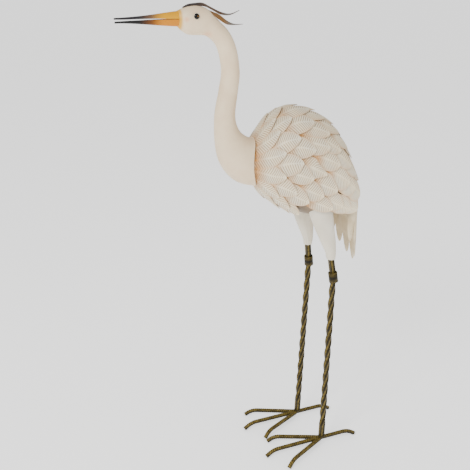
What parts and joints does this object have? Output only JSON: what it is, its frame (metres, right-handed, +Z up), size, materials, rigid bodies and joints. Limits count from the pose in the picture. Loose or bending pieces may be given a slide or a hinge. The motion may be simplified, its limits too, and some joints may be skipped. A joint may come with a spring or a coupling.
{
  "type": "crane garden statue",
  "caption": "Standing white wading bird for the garden, covered in overlapping painted sheet-metal leaves, with a curved neck, long beak, hanging tail and twisted bar legs on splayed feet.",
  "frame": {"origin": "middle of the figure's outline box, on the ground plane that the toe tips stand on", "axes": "+Z up, -Y the way the bird faces, +X its left side"},
  "size_m": [0.2256, 0.4812, 0.905],
  "materials": {
    "white_sheet": "satin off-white paint",
    "feather_sheet": "satin cream paint with peach shading",
    "beak_paint": "satin yellow-orange paint, darkening to grey-black at the tip",
    "crest_paint": "satin brown paint",
    "bronzed_bar": "dark steel bar with a bronze highlight",
    "eye_black": "glossy black"
  },
  "bodies": {
    "root": {"beak_lower": "beak_paint", "beak_upper": "beak_paint", "body": "white_sheet", "crest_plume_lower": "crest_paint", "crest_plume_upper": "crest_paint", "eye_left": "eye_black", "eye_right": "eye_black", "feather_row3_5": "feather_sheet", "feather_row6_4": "feather_sheet", "feathers_row1_1": "feather_sheet", "feathers_row1_2": "feather_sheet", "feathers_row1_3": "feather_sheet", "feathers_row1_4": "feather_sheet", "feathers_row2_1": "feather_sheet", "feathers_row2_2": "feather_sheet", "feathers_row2_3": "feather_sheet", "feathers_row2_4": "feather_sheet", "feathers_row3_1": "feather_sheet", "feathers_row3_2": "feather_sheet", "feathers_row3_3": "feather_sheet", "feathers_row3_4": "feather_sheet", "feathers_row4_1": "feather_sheet", "feathers_row4_2": "feather_sheet", "feathers_row4_3": "feather_sheet", "feathers_row4_4": "feather_sheet", "feathers_row5_1": "feather_sheet", "feathers_row5_2": "feather_sheet", "feathers_row5_3": "feather_sheet", "feathers_row5_4": "feather_sheet", "feathers_row6_1": "feather_sheet", "feathers_row6_2": "feather_sheet", "feathers_row6_3": "feather_sheet", "feathers_row7_1": "feather_sheet", "feathers_row7_2": "feather_sheet", "feathers_row7_3": "feather_sheet", "feathers_row8_1": "feather_sheet", "feathers_row8_2": "feather_sheet", "feathers_row8_3": "feather_sheet", "inner_toe_left": "bronzed_bar", "inner_toe_right": "bronzed_bar", "knee_sleeve_left": "bronzed_bar", "knee_sleeve_right": "bronzed_bar", "lower_leg_left": "bronzed_bar", "lower_leg_right": "bronzed_bar", "middle_and_rear_toe_left": "bronzed_bar", "middle_and_rear_toe_right": "bronzed_bar", "neck_and_head": "white_sheet", "outer_toe_left": "bronzed_bar", "outer_toe_right": "bronzed_bar", "tail_strip_1": "white_sheet", "tail_strip_2": "white_sheet", "tail_strip_3": "white_sheet", "tail_strip_4": "white_sheet", "tail_strip_5": "white_sheet", "tail_strip_6": "white_sheet", "tail_strip_7": "white_sheet", "thigh_bar_left": "bronzed_bar", "thigh_bar_right": "bronzed_bar", "thigh_left": "white_sheet", "thigh_right": "white_sheet"}
  },
  "joints": []
}
